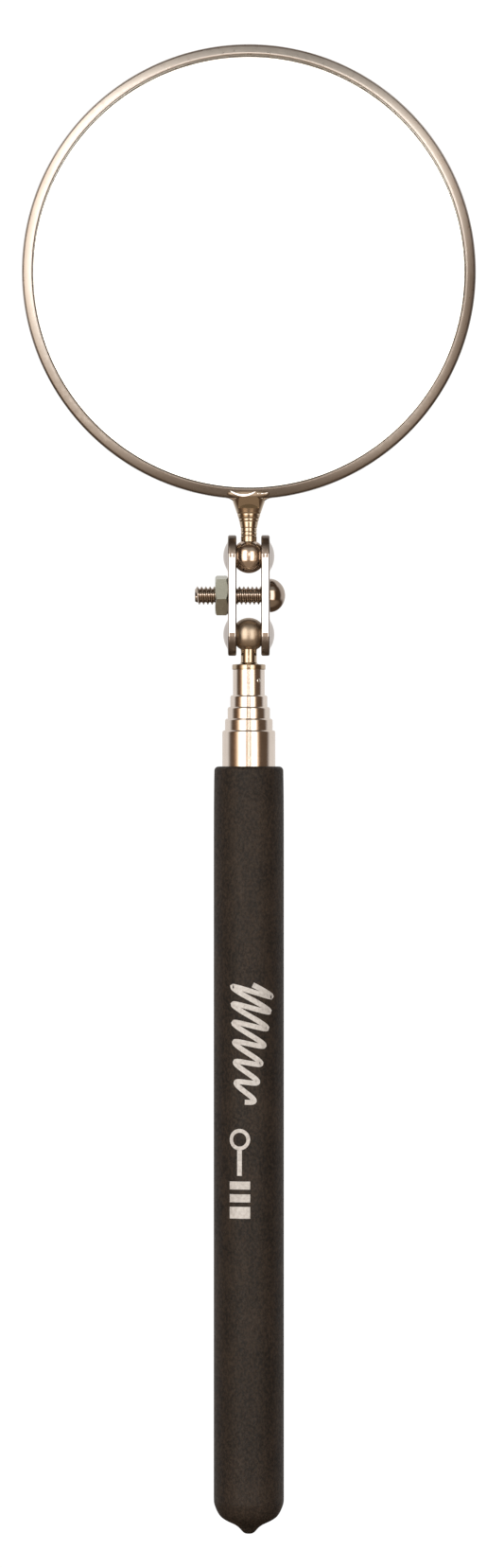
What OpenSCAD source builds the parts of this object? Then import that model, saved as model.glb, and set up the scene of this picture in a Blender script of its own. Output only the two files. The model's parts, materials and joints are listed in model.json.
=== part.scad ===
// Telescoping inspection mirror: a round framed glass on a two-ball clamp, at the end of five
// nested tubes in a soft grip. All sizes are in millimetres.
// +Z runs up the handle, the glass faces -Y, and the clamp screw lies along X with its head at +X.
// The origin is on the handle's axis, halfway up the straight stretch of the grip.
// The tubes are drawn pushed in, and the two balls in line.

/* [Mirror head] */
// Diameter of the glass
glass_d = 82.55; // [60:0.05:100]
// Thickness of the glass
glass_t = 2; // [1.5:0.1:3]
// Room between the edge of the glass and the wall of the case
glass_edge_gap = 0.925; // [0.3:0.025:1.2]
// Thickness of the silver and paint on the back of the glass
silver_t = 0.1; // [0.05:0.05:0.2]
// Thickness of the pad behind the glass
pad_t = 1.2; // [0.8:0.1:3]
// Sheet thickness of the case
case_t = 0.5; // [0.4:0.1:0.7]
// Outside radius of the case's rolled front lip, in section
lip_roll_r = 1.05; // [0.9:0.05:1.3]
// Depth of the lip's edge from the roll down to the glass
lip_edge_h = 0.35; // [0.2:0.05:0.6]
// Outside radius of the case's back corner, in section
case_corner_r = 1; // [0.8:0.1:1.5]

/* [Mirror neck] */
// Distance from the upper ball's centre to the rim of the case
upper_neck_len = 10.8; // [9:0.1:14]
// Radius of the neck's flared end, at the rim
bell_r = 3.2; // [2.8:0.1:3.8]
// Length of the flare
bell_len = 5.8; // [4:0.1:6]
// How far the solder reaches out beyond the flare, along the rim
solder_reach = 1.7; // [1:0.1:3]
// How far the solder reaches down the flare
solder_drop = 1.4; // [0.8:0.1:1.5]

/* [Ball clamp] */
// Diameter of both balls
ball_d = 6.35; // [5.5:0.05:7.8]
// Distance between the centres of the two balls
ball_spacing = 14.7; // [13:0.1:18]
// How deep each ball sits in the face of each plate
socket_depth = 0.85; // [0.6:0.05:1]
// Diameter of the neck below and above the balls
neck_d = 3; // [2.5:0.1:3.4]
// Thickness of a clamp plate
plate_t = 1.6; // [1.2:0.1:2]
// Width of a clamp plate, which is also the diameter of its round ends
plate_w = 8; // [7:0.1:9]
// Outside diameter of the clamp screw's thread
screw_d = 3.5; // [3:0.1:4]
// Diameter of the screw's round head
screw_head_d = 6.35; // [5.5:0.05:7.5]
// Height of the screw's round head
screw_head_h = 3; // [2:0.1:3.1]
// Length of screw that stands out of the nut
screw_tail = 3.8; // [2:0.1:6]
// Width of the screw's driving slot
screw_slot_w = 0.9; // [0.7:0.1:1.2]
// Depth of the screw's driving slot
screw_slot_depth = 1.3; // [0.8:0.1:1.6]
// Size of the nut across its flats
nut_flats = 6.9; // [6.3:0.1:8]
// Thickness of the nut
nut_t = 2.4; // [1.8:0.1:3.2]
// Angle that the nut is turned on the screw, from a corner straight ahead
nut_turn = 11; // [0:1:60]

/* [Lower ball stem] */
// Distance from the flange's top to the lower ball's centre
lower_neck_len = 5.6; // [5:0.1:8]
// How far the flange stands out beyond the last tube
flange_lip = 0.15; // [0.1:0.05:0.3]
// Thickness of the flange
flange_t = 1; // [0.6:0.1:1.5]
// Length of the stem inside the last tube
stem_spigot_len = 8; // [6:0.5:12]
// Diameter of the pin that holds the stem in the tube
pin_d = 0.8; // [0.6:0.1:1]
// How far the pin's middle is below the top of the tube
pin_drop = 2.1; // [1.5:0.1:4]
// How far the pin's end stands out of the tube
pin_proud = 0.1; // [0:0.05:0.15]
// Angle of the pin round the tube, from the front towards +X
pin_angle = 39; // [0:1:90]

/* [Tubes] */
// Outside diameter of the outermost tube
outer_tube_d = 10; // [8.5:0.1:12]
// Wall of every tube
tube_wall = 0.3; // [0.25:0.05:0.4]
// Radial space between one tube and the next
tube_space = 0.2; // [0.15:0.05:0.3]
// Height of the outermost tube that shows above the grip
tube_showing = 6.8; // [4:0.1:15]
// How much longer the last tube is than the other inner tubes
last_tube_extra = 2.6; // [1:0.1:8]
// Length that stays inside the next tube when a tube is drawn right out
overlap_len = 23.7; // [15:0.1:40]
// Height of the rolled bead that stops a tube, out from its wall
bead_h = 0.1; // [0.05:0.05:0.1]
// Length of the rolled bead
bead_len = 0.6; // [0.4:0.1:1]
// Thickness of a stop collar's flange, below its tube
collar_flange_t = 1; // [0.8:0.1:2]
// Height of a stop collar's spigot, inside its tube
collar_spigot_h = 1.2; // [0.8:0.1:3]
// Diameter of the air hole through each stop collar
collar_hole_d = 2.4; // [1:0.1:3]
// Width of the slit in each friction sleeve
sleeve_slit = 0.8; // [0.4:0.1:1.5]

/* [Grip] */
// Thickness of the grip over the outermost tube
grip_wall = 1.6; // [1:0.1:3]
// Length of the straight stretch of the grip
grip_straight = 137.2; // [100:0.2:180]
// Radius of the grip's top edge
grip_edge_r = 0.6; // [0.3:0.1:0.9]
// Height of the grip's domed end
grip_dome_h = 5.2; // [4.5:0.1:8]
// How far the bore runs down below the straight stretch
grip_bore_drop = 1.5; // [0.5:0.1:2]
// Radius of the drip at the middle of the domed end
drip_r = 1.75; // [1:0.05:2.5]
// Height of the drip below the domed end
drip_h = 1.3; // [0.5:0.1:2]
// Thickness of the base plug's flange, below the outermost tube
plug_flange_t = 0.8; // [0.5:0.1:1.5]
// Height of the base plug's spigot, inside the outermost tube
plug_spigot_h = 2.2; // [1.5:0.1:5]

/* [Clearances] */
// Gap round a ball in its sockets
ball_gap = 0.04; // [0.02:0.01:0.08]
// Gap between a ball and the dished end of its stem
seat_gap = 0.03; // [0.02:0.01:0.08]
// Gap round the screw in the plates
screw_hole_gap = 0.15; // [0.1:0.05:0.3]
// Gap round the screw in the nut
thread_gap = 0.05; // [0.02:0.01:0.1]
// Gap between a tube and the crimped mouth it slides through
mouth_gap = 0.05; // [0.02:0.01:0.1]
// Gap between a stop collar and the tube it slides in
collar_gap = 0.05; // [0.02:0.01:0.1]
// Gap on each side of a friction sleeve
sleeve_gap = 0.025; // [0.02:0.005:0.05]

/* [Hidden] */
$fn = 96;
// Steps in an arc of an outline
STEPS = 8;
// A little extra length, so that a cut runs clear of the face it starts from
PAST = 1;
LAST_TUBE = 5;

// Grip and outermost tube
grip_r = outer_tube_d / 2 + grip_wall;
grip_z0 = -grip_straight / 2;
grip_z1 = grip_straight / 2 + grip_edge_r;
grip_floor_z = grip_z0 - grip_bore_drop;
dome_z = grip_z0 - grip_dome_h;
tip_z = dome_z - drip_h;
plug_top_z = grip_floor_z + plug_flange_t + plug_spigot_h;

// Tubes, counted from the outermost
step_h = collar_flange_t + collar_spigot_h;
function tube_r(k) = outer_tube_d / 2 - (k - 1) * (tube_wall + tube_space);
function bore_r(k) = tube_r(k) - tube_wall;
function tube_z0(k) = k == 1
    ? grip_floor_z + plug_flange_t
    : plug_top_z + collar_flange_t + (k - 2) * step_h;
function tube_z1(k) = grip_z1 + tube_showing + (k - 1) * step_h
    + (k == LAST_TUBE ? last_tube_extra : 0);
mouth_t = tube_wall;
mouth_edge_r = 0.35;

// Lower ball stem
flange_z0 = tube_z1(LAST_TUBE);
flange_z1 = flange_z0 + flange_t;
flange_r = tube_r(LAST_TUBE) + flange_lip;
pin_z = flange_z0 - pin_drop;

// Clamp
ball_r = ball_d / 2;
neck_r = neck_d / 2;
lower_ball_z = flange_z1 + lower_neck_len;
upper_ball_z = lower_ball_z + ball_spacing;
screw_z = (lower_ball_z + upper_ball_z) / 2;
plate_in_x = ball_r - socket_depth;
plate_out_x = plate_in_x + plate_t;
socket_r = ball_r + ball_gap;
screw_r = screw_d / 2;
screw_end_x = -(plate_out_x + nut_t + screw_tail);

// Mirror head: heights in the case's section run from its middle towards the glass
case_r = glass_d / 2 + glass_edge_gap + case_t;
case_d = case_t + pad_t + silver_t + glass_t + lip_edge_h + lip_roll_r;
case_front = case_d / 2;
case_back = -case_d / 2;
pad_h = case_back + case_t;
silver_h = pad_h + pad_t;
glass_h = silver_h + silver_t;
glass_front = glass_h + glass_t;
lip_h = case_front - lip_roll_r;
rim_z = upper_ball_z + upper_neck_len;
mirror_z = rim_z + case_r;
bell_z0 = rim_z - bell_len;
BELL_POWER = 1.3;
// Thickness of the solder at its thin edges
SOLDER_EDGE = 0.08;

// Points on an ellipse about a centre, from one angle to another
function oval(centre, rx, ry, from, to) =
    [for (i = [0:STEPS]) let (a = from + (to - from) * i / STEPS)
        centre + [rx * cos(a), ry * sin(a)]];
function arc(centre, r, from, to) = oval(centre, r, r, from, to);

module turned(points) rotate_extrude() polygon(points);

// A ring or disc on the handle's axis
module disc(r, z0, z1) translate([0, 0, z0]) cylinder(r = r, h = z1 - z0);

// Lay a piece turned about Z along Y, centred on the glass, with its top towards -Y
module at_mirror() translate([0, 0, mirror_z]) rotate([90, 0, 0]) children();

// Lay a piece turned about Z along X through the clamp's middle, with its top towards +X
module at_screw() translate([0, 0, screw_z]) rotate([0, 90, 0]) children();

module grip() {
    color([0.2, 0.17, 0.15])
    turned(concat(
        [[outer_tube_d / 2, grip_z1]],
        arc([grip_r - grip_edge_r, grip_z1 - grip_edge_r], grip_edge_r, 90, 0),
        oval([0, grip_z0], grip_r, grip_dome_h, 0, -acos(drip_r / grip_r)),
        oval([0, dome_z], drip_r, drip_h, 0, -90),
        [[0, grip_floor_z], [outer_tube_d / 2, grip_floor_z]]));
}

module base_plug() {
    color([0.72, 0.6, 0.35]) {
        disc(tube_r(1), grip_floor_z, grip_floor_z + plug_flange_t);
        disc(bore_r(1), grip_floor_z + plug_flange_t, plug_top_z);
    }
}

// Right half of the section of a tube, with a crimped mouth that the next tube slides through
function crimped_tube(k) =
    let (r = tube_r(k), z1 = tube_z1(k), mouth_r = tube_r(k + 1) + mouth_gap, in_r = bore_r(k))
    concat(
        [[in_r, tube_z0(k)], [in_r, z1 - mouth_t - (in_r - mouth_r)], [mouth_r, z1 - mouth_t],
         [mouth_r, z1]],
        arc([r - mouth_edge_r, z1 - mouth_edge_r], mouth_edge_r, 90, 0));

// Lower end of the outside of an inner tube, with its rolled stop bead
function beaded_end(k) =
    let (r = tube_r(k), z = tube_z0(k) + overlap_len)
    [[r, z], [r + bead_h, z - bead_h], [r + bead_h, z - bead_len + bead_h], [r, z - bead_len],
     [r, tube_z0(k)]];

module outer_tube() {
    color([0.73, 0.66, 0.58])
    turned(concat(crimped_tube(1), [[tube_r(1), tube_z0(1)]]));
}

module inner_tube(k) {
    color([0.73, 0.66, 0.58])
    if (k < LAST_TUBE)
        turned(concat(crimped_tube(k), beaded_end(k)));
    else
        difference() {
            turned(concat([[bore_r(k), tube_z0(k)], [bore_r(k), tube_z1(k)],
                           [tube_r(k), tube_z1(k)]], beaded_end(k)));
            pin_shape();
        }
}

// Brass end piece under an inner tube, with an air hole
module stop_collar(k) {
    color([0.78, 0.63, 0.3])
    difference() {
        union() {
            disc(bore_r(k - 1) - collar_gap, tube_z0(k) - collar_flange_t, tube_z0(k));
            disc(bore_r(k), tube_z0(k), tube_z0(k) + collar_spigot_h);
        }
        disc(collar_hole_d / 2, tube_z0(k) - step_h, tube_z0(k) + step_h);
    }
}

// Slit spring sleeve between a tube and the one outside it, from the collar to the stop bead
module friction_sleeve(k) {
    z0 = tube_z0(k) + sleeve_gap;
    z1 = tube_z0(k) + overlap_len - bead_len - sleeve_gap;
    color([0.8, 0.52, 0.3])
    difference() {
        disc(bore_r(k - 1) - sleeve_gap, z0, z1);
        disc(tube_r(k) + sleeve_gap, z0 - PAST, z1 + PAST);
        translate([0, -sleeve_slit / 2, z0 - PAST])
            cube([tube_r(1), sleeve_slit, z1 - z0 + 2 * PAST]);
    }
}

// The pin through the last tube's wall, reaching into the stem
module pin_shape() {
    in_r = bore_r(LAST_TUBE) / 2;
    translate([0, 0, pin_z]) rotate([0, 90, pin_angle - 90])
        translate([0, 0, in_r]) cylinder(d = pin_d, h = tube_r(LAST_TUBE) + pin_proud - in_r);
}

module stem_pin() {
    color([0.85, 0.82, 0.76])
    pin_shape();
}

module lower_ball_stem() {
    edge = flange_t / 4;
    color([0.62, 0.53, 0.43])
    difference() {
        turned([[0, flange_z0 - stem_spigot_len], [bore_r(LAST_TUBE), flange_z0 - stem_spigot_len],
                [bore_r(LAST_TUBE), flange_z0], [flange_r, flange_z0],
                [flange_r, flange_z1 - edge], [flange_r - edge, flange_z1],
                [neck_r, flange_z1], [neck_r, lower_ball_z], [0, lower_ball_z]]);
        translate([0, 0, lower_ball_z]) sphere(r = ball_r + seat_gap);
        pin_shape();
    }
}

module lower_ball() {
    color([0.6, 0.52, 0.42])
    translate([0, 0, lower_ball_z]) sphere(r = ball_r);
}

module upper_ball() {
    color([0.66, 0.57, 0.46])
    translate([0, 0, upper_ball_z]) sphere(r = ball_r);
}

// A long round-ended plate on the nut's side, dished outwards over each ball
module clamp_plate() {
    dome_r = socket_r + plate_t;
    color([0.86, 0.84, 0.8])
    difference() {
        union() {
            for (z = [lower_ball_z, upper_ball_z]) {
                plate_end(z, plate_t);
                intersection() {
                    translate([0, 0, z]) sphere(r = dome_r);
                    plate_end(z, dome_r);
                }
            }
            translate([-plate_out_x, -plate_w / 2, lower_ball_z])
                cube([plate_t, plate_w, ball_spacing]);
        }
        for (z = [lower_ball_z, upper_ball_z])
            translate([0, 0, z]) sphere(r = socket_r);
        at_screw() translate([0, 0, -plate_out_x - PAST])
            cylinder(r = screw_r + screw_hole_gap, h = plate_t + 2 * PAST);
    }
}

// A disc as wide as the plate, centred on a ball, out from the plate's inner face
module plate_end(z, h) {
    translate([-plate_in_x, 0, z]) rotate([0, -90, 0]) cylinder(d = plate_w, h = h);
}

module left_clamp_plate() clamp_plate();

module right_clamp_plate() mirror([1, 0, 0]) clamp_plate();

module clamp_screw() {
    color([0.5, 0.45, 0.4])
    at_screw() difference() {
        turned(concat([[0, screw_end_x], [screw_r - screw_r / 4, screw_end_x],
                       [screw_r, screw_end_x + screw_r / 4], [screw_r, plate_out_x]],
                      oval([0, plate_out_x], screw_head_d / 2, screw_head_h, 0, 90)));
        translate([-screw_head_d, -screw_slot_w / 2, plate_out_x + screw_head_h - screw_slot_depth])
            cube([2 * screw_head_d, screw_slot_w, screw_head_h]);
    }
}

module clamp_nut() {
    color([0.55, 0.54, 0.5])
    at_screw() translate([0, 0, -plate_out_x - nut_t]) difference() {
        rotate([0, 0, 90 + nut_turn]) cylinder(d = nut_flats / cos(30), h = nut_t, $fn = 6);
        translate([0, 0, -PAST]) cylinder(r = screw_r + thread_gap, h = nut_t + 2 * PAST);
    }
}

// Radius of the neck's flare at a height
function bell_at(z) = neck_r + (bell_r - neck_r) * pow((z - bell_z0) / bell_len, BELL_POWER);

// The neck before its flats are cut, up to a height where it is well inside the case
module flared_neck(top_z) {
    turned(concat([[0, upper_ball_z], [neck_r, upper_ball_z]],
                  [for (i = [0:STEPS]) let (z = bell_z0 + bell_len * i / STEPS) [bell_at(z), z]],
                  [[bell_r, top_z], [0, top_z]]));
}

// What the rim takes away from a piece that is joined to it
module rim_cut() at_mirror() cylinder(r = case_r, h = 3 * case_d, center = true, $fn = 720);

// The space as deep as the case, which gives the neck its flats
module case_depth(half_w, z0, z1) {
    translate([-half_w, -case_front, z0]) cube([2 * half_w, case_d, z1 - z0]);
}

module mirror_neck() {
    top_z = rim_z + bell_r;
    color([0.6, 0.51, 0.4])
    difference() {
        intersection() {
            flared_neck(top_z);
            case_depth(bell_r + PAST, upper_ball_z, top_z + PAST);
        }
        translate([0, 0, upper_ball_z]) sphere(r = ball_r + seat_gap);
        rim_cut();
    }
}

// Solder on both sides of the flare, hollow in outline, from the flare out to the rim
module solder_fillet() {
    out_r = bell_r + solder_reach;
    foot_z = rim_z - solder_drop;
    foot_r = bell_at(foot_z) - SOLDER_EDGE;
    end_z = rim_z + case_r - sqrt(case_r * case_r - out_r * out_r) - SOLDER_EDGE;
    top_z = rim_z + bell_r;
    color([0.68, 0.6, 0.5])
    difference() {
        intersection() {
            turned(concat([[0, foot_z], [0, top_z], [out_r, top_z]],
                          oval([out_r, foot_z], out_r - foot_r, end_z - foot_z, 90, 180)));
            case_depth(out_r + PAST, foot_z - PAST, top_z + PAST);
        }
        flared_neck(top_z + PAST);
        rim_cut();
    }
}

module mirror_case() {
    lip_r = case_r - lip_roll_r;
    corner_in = case_corner_r - case_t;
    color([0.7, 0.68, 0.65])
    at_mirror() turned(concat(
        [[0, case_back], [case_r - case_corner_r, case_back]],
        arc([case_r - case_corner_r, case_back + case_corner_r], case_corner_r, -90, 0),
        arc([lip_r, lip_h], lip_roll_r, 0, 180),
        [[lip_r - lip_roll_r, glass_front], [lip_r - lip_roll_r + case_t, glass_front]],
        arc([lip_r, lip_h], lip_roll_r - case_t, 180, 0),
        arc([case_r - case_corner_r, case_back + case_corner_r], corner_in, 0, -90),
        [[0, pad_h]]));
}

module backing_pad() {
    color([0.55, 0.45, 0.33])
    at_mirror() translate([0, 0, pad_h]) cylinder(d = glass_d, h = pad_t);
}

module silver_layer() {
    color([0.9, 0.91, 0.92])
    at_mirror() translate([0, 0, silver_h]) cylinder(d = glass_d, h = silver_t);
}

module mirror_glass() {
    color([0.85, 0.93, 0.9, 0.5])
    at_mirror() translate([0, 0, glass_h]) cylinder(d = glass_d, h = glass_t);
}

grip();
base_plug();
outer_tube();  // tube_1
for (k = [2:LAST_TUBE]) {
    inner_tube(k);
    stop_collar(k);
    friction_sleeve(k);
}
lower_ball_stem();
stem_pin();
lower_ball();
right_clamp_plate();
left_clamp_plate();
clamp_screw();
clamp_nut();
upper_ball();
mirror_neck();
solder_fillet();
mirror_case();
backing_pad();
silver_layer();
mirror_glass();
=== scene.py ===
"""Looks of the telescoping inspection mirror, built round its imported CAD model.

Lengths are in metres, written as millimetres times MM. Z runs up the handle, the glass faces -Y,
and the clamp screw lies along X."""

import json
import math

import bmesh
import bpy
from mathutils import Matrix, Vector


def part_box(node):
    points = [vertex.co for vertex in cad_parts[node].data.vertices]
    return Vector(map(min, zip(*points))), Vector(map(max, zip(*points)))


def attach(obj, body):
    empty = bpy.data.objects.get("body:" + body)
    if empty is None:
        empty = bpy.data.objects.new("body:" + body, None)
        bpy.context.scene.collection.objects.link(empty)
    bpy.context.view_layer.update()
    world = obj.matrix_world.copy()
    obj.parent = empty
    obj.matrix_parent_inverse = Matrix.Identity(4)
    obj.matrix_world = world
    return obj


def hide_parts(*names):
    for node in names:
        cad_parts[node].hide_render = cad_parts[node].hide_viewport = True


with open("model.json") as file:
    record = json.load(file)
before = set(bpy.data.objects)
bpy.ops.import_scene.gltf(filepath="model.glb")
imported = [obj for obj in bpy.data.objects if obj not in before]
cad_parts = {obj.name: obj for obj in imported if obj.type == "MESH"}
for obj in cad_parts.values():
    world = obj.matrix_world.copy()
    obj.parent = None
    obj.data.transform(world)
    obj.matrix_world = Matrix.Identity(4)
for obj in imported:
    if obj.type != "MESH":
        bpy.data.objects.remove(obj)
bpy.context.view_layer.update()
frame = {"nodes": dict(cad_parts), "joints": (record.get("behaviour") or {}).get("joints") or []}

MM = 0.001
SEGMENTS = 96                 # steps round a turned piece
MERGE = 1e-7                  # vertices nearer than this become one
SHARP = math.radians(32)      # a sharper edge than this is not shaded smooth
FLAT_SHARP = math.radians(3)  # the same for an edge of a large flat face
FLAT_CORNERS = 8              # a face with more corners than this is a large flat face


# ---------------------------------------------------------------- places, from the frame

def joint_height(name):
    """Height of a joint's centre on the handle's axis."""
    return next(j for j in frame["joints"] if j["name"] == name)["pos_m"][2]


LOWER_BALL = joint_height("lower_ball_swing")
UPPER_BALL = joint_height("upper_ball_swing")
SCREW = joint_height("clamp_screw_turn")
case_lo, case_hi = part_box("mirror_case")
CASE_R = (case_hi.x - case_lo.x) / 2
MIRROR = (case_hi.z + case_lo.z) / 2
RIM = case_lo.z
BALL_R = (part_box("upper_ball")[1].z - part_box("upper_ball")[0].z) / 2

# sizes that the boxes don't give
NECK_R = 1.5 * MM        # neck below and above the balls
BELL_R = 3.2 * MM        # upper neck's flared end
TUBE_WALL = 0.3 * MM
SCREW_R = 1.75 * MM
PITCH = 25.4 / 32 * MM   # 32 threads an inch
PLATE_IN = BALL_R - 0.85 * MM
PLATE_OUT = PLATE_IN + 1.6 * MM
PLATE_END_R = 4.0 * MM
NUT_FLATS = 6.9 * MM
NUT_TURN = math.radians(11)


# ---------------------------------------------------------------- mesh tools

def verts_in(geom):
    return [g for g in geom if isinstance(g, bmesh.types.BMVert)]


def edges_in(geom):
    return [g for g in geom if isinstance(g, bmesh.types.BMEdge)]


def finish_mesh(bm, name, body, material, replaces=(), recalc=True, hard=None):
    """Turn a bmesh into a piece that rides on a body and stands for CAD nodes.

    hard is a test that picks more edges to keep sharp."""
    bmesh.ops.remove_doubles(bm, verts=bm.verts, dist=MERGE)
    if recalc:
        bmesh.ops.recalc_face_normals(bm, faces=bm.faces)
    for face in bm.faces:
        face.smooth = True
    for edge in bm.edges:
        flat = any(len(f.verts) > FLAT_CORNERS for f in edge.link_faces)
        edge.smooth = (len(edge.link_faces) == 2
                       and edge.calc_face_angle(0) < (FLAT_SHARP if flat else SHARP)
                       and not (hard and hard(edge)))
    mesh = bpy.data.meshes.new(name)
    bm.to_mesh(mesh)
    bm.free()
    piece = bpy.data.objects.new(name, mesh)
    bpy.context.scene.collection.objects.link(piece)
    mesh.materials.append(material)
    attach(piece, body)
    if replaces:
        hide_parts(*replaces)
    return piece


def chain(bm, points):
    """A line of vertices and edges through points (r, z) in the XZ plane."""
    verts = [bm.verts.new((r, 0, z)) for r, z in points]
    for a, b in zip(verts, verts[1:]):
        bm.edges.new((a, b))
    return verts


def turned(points, closed=False, segments=SEGMENTS):
    """A bmesh turned about Z from an outline of (r, z) points."""
    bm = bmesh.new()
    verts = chain(bm, points)
    if closed:
        bm.edges.new((verts[-1], verts[0]))
    bmesh.ops.spin(bm, geom=bm.verts[:] + bm.edges[:], cent=(0, 0, 0), axis=(0, 0, 1),
                   angle=2 * math.pi, steps=segments, use_merge=True, use_duplicate=False)
    bmesh.ops.remove_doubles(bm, verts=bm.verts, dist=MERGE)
    return bm


def arc(centre, radius, start, end, steps=8):
    """Points (r, z) on an arc, between two angles in degrees."""
    angles = [math.radians(start + (end - start) * i / steps) for i in range(steps + 1)]
    return [(centre[0] + radius * math.cos(a), centre[1] + radius * math.sin(a))
            for a in angles]


def move(bm, matrix):
    """Move, turn or stretch a whole bmesh."""
    bmesh.ops.transform(bm, matrix=matrix, verts=bm.verts)


def cut(bm, point, normal, **cleared):
    """Cut all the faces along a plane, and clear one side of it if asked."""
    return bmesh.ops.bisect_plane(bm, geom=bm.verts[:] + bm.edges[:] + bm.faces[:],
                                  plane_co=point, plane_no=normal, **cleared)


def extrude(bm, edges):
    """Extrude edges in place, and give the new vertices and edges."""
    geom = bmesh.ops.extrude_edge_only(bm, edges=edges)["geom"]
    return verts_in(geom), edges_in(geom)


def add_mesh(bm, other):
    """Move another bmesh's geometry into this one."""
    bmesh.ops.recalc_face_normals(other, faces=other.faces)
    scratch = bpy.data.meshes.new("scratch")
    other.to_mesh(scratch)
    other.free()
    bm.from_mesh(scratch)
    bpy.data.meshes.remove(scratch)


def through(points, steps=4):
    """A smooth line through points, with a few steps between each two."""
    ends = [points[0], *points, points[-1]]
    line = [points[0]]
    for a, b, c, d in zip(ends, ends[1:], ends[2:], ends[3:]):
        for i in range(1, steps + 1):
            t = i / steps
            line.append(tuple(
                0.5 * (2 * q + (r - p) * t + (2 * p - 5 * q + 4 * r - w) * t * t
                       + (3 * q - p - 3 * r + w) * t ** 3)
                for p, q, r, w in zip(a, b, c, d)))
    return line


def grow(bm, edges, place):
    """Extrude a loop of edges by one ring, and place each new vertex."""
    verts, made = extrude(bm, edges)
    for v in verts:
        place(v)
    return made


# ---------------------------------------------------------------- materials

# sockets of a mix node that is set to colours
MIX_SHARE, MIX_A, MIX_B, MIX_RESULT = 0, 6, 7, 2


def feed(tree, socket, value):
    """Join a socket to another node's output, or set its constant."""
    if isinstance(value, bpy.types.NodeSocket):
        tree.links.new(value, socket)
    else:
        socket.default_value = value


def add_node(tree, kind, inputs=None, **settings):
    """Add a node, with its settings first and then its inputs."""
    node = tree.nodes.new(kind)
    for key, value in settings.items():
        setattr(node, key, value)
    for key, value in (inputs or {}).items():
        feed(tree, node.inputs[key], value)
    return node


class Nodes:
    """A material's node tree, with short calls to add and join nodes."""

    def __init__(self, name):
        self.material = bpy.data.materials.new(name)
        self.material.use_nodes = True
        self.tree = self.material.node_tree
        self.shader = self.tree.nodes["Principled BSDF"]
        self.coords = self.add("ShaderNodeTexCoord").outputs["Object"]

    def add(self, kind, inputs=None, **settings):
        return add_node(self.tree, kind, inputs, **settings)

    def set(self, **values):
        """Feed the shader's sockets, named with _ for each space."""
        for key, value in values.items():
            feed(self.tree, self.shader.inputs[key.replace("_", " ")], value)

    def placed(self, location=(0, 0, 0), scale=(1, 1, 1)):
        """Object coordinates, moved or stretched for one pattern."""
        return self.add("ShaderNodeMapping", {
            "Vector": self.coords, "Location": location, "Scale": scale}).outputs["Vector"]

    def noise(self, vector, scale, detail=3.0, roughness=0.55):
        """Cloudy noise from nought to one, with so many clouds a metre."""
        return self.add("ShaderNodeTexNoise", {
            "Vector": vector, "Scale": scale, "Detail": detail,
            "Roughness": roughness}).outputs["Fac"]

    def between(self, value, low, high, to_low=0.0, to_high=1.0):
        """A value's range low to high, mapped to another range."""
        return self.add("ShaderNodeMapRange", {
            "Value": value, "From Min": low, "From Max": high,
            "To Min": to_low, "To Max": to_high}).outputs["Result"]

    def blend(self, share, a, b):
        """A colour between two colours."""
        return self.add("ShaderNodeMix", {MIX_SHARE: share, MIX_A: a, MIX_B: b},
                        data_type="RGBA").outputs[MIX_RESULT]

    def math(self, operation, a, b=0.0):
        """One sum on two values."""
        return self.add("ShaderNodeMath", {0: a, 1: b}, operation=operation).outputs[0]

    def bump(self, height, strength, distance):
        """Raise the surface a little with a pattern."""
        node = self.add("ShaderNodeBump", {
            "Height": height, "Strength": strength, "Distance": distance})
        self.tree.links.new(node.outputs["Normal"], self.shader.inputs["Normal"])


def rgb(r, g, b):
    """A colour in the order that a socket takes, quite opaque."""
    return (r, g, b, 1.0)


SPOT_SCALE, BROAD_SCALE = 900, 160  # of plated metal's specks and of its broad mottling
LINE_SCALE = 1000 / 0.12     # of its turning lines
LINE_DEPTH = 0.00002         # height of its lines and specks
# painted shade on the case's rim: a darker colour low down, where it catches no highlight
SHADE_LEAN = (-0.25, 0, 1)    # the way up along which the painted shade fades out
SHADE_ABOVE = 9 * MM          # the painted shade starts this far above the centre
SHADE_BELOW = 12 * MM         # and is full this far below it


def plated(name, colour, worn, roughness, lines=None, line_strength=0.12, line_centre=None,
           mottle=1.0, shade_colour=None):
    """Plated metal: turning lines along Z, or rings about a centre, with faint mottling.

    A darker colour low on the centred piece is painted shade, where its lower part catches no
    highlight."""
    n = Nodes(name)
    spots = n.noise(n.coords, SPOT_SCALE, 4)
    broad = n.noise(n.coords, BROAD_SCALE, 2)
    share = n.math("MULTIPLY", n.between(broad, 0.35, 0.7), 0.55 * mottle)
    tint = n.blend(share, rgb(*colour), rgb(*worn))
    # painted shade: a darker colour low on the piece, a little speckled
    if shade_colour:
        height = n.add("ShaderNodeVectorMath", {0: n.coords, 1: SHADE_LEAN},
                       operation="DOT_PRODUCT").outputs["Value"]
        low = n.between(height, line_centre[2] + SHADE_ABOVE, line_centre[2] - SHADE_BELOW)
        shade_share = n.math("MULTIPLY", low, n.between(spots, 0.15, 0.5, 0.85, 1.0))
        tint = n.blend(shade_share, tint, rgb(*shade_colour))
    rough_low, rough_high = roughness
    n.set(Base_Color=tint, Metallic=1.0,
          Roughness=n.between(spots, 0.3, 0.75, rough_low, rough_high))
    if lines == "turned":
        stretched = n.placed(scale=(0.02, 0.02, 1))
        grooves = n.noise(stretched, LINE_SCALE, 2, 0.6)
        n.bump(grooves, line_strength, LINE_DEPTH)
    elif lines == "rings":
        centred = n.placed(location=tuple(-c for c in line_centre))
        flat = n.add("ShaderNodeVectorMath", {0: centred, 1: (1, 0, 1)},
                     operation="MULTIPLY").outputs["Vector"]
        radius = n.add("ShaderNodeVectorMath", {0: flat}, operation="LENGTH").outputs["Value"]
        along = n.add("ShaderNodeCombineXYZ", {"X": radius}).outputs["Vector"]
        grooves = n.noise(along, LINE_SCALE, 2, 0.6)
        n.bump(grooves, line_strength, LINE_DEPTH)
    else:
        n.bump(spots, line_strength, LINE_DEPTH)
    return n.material


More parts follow.
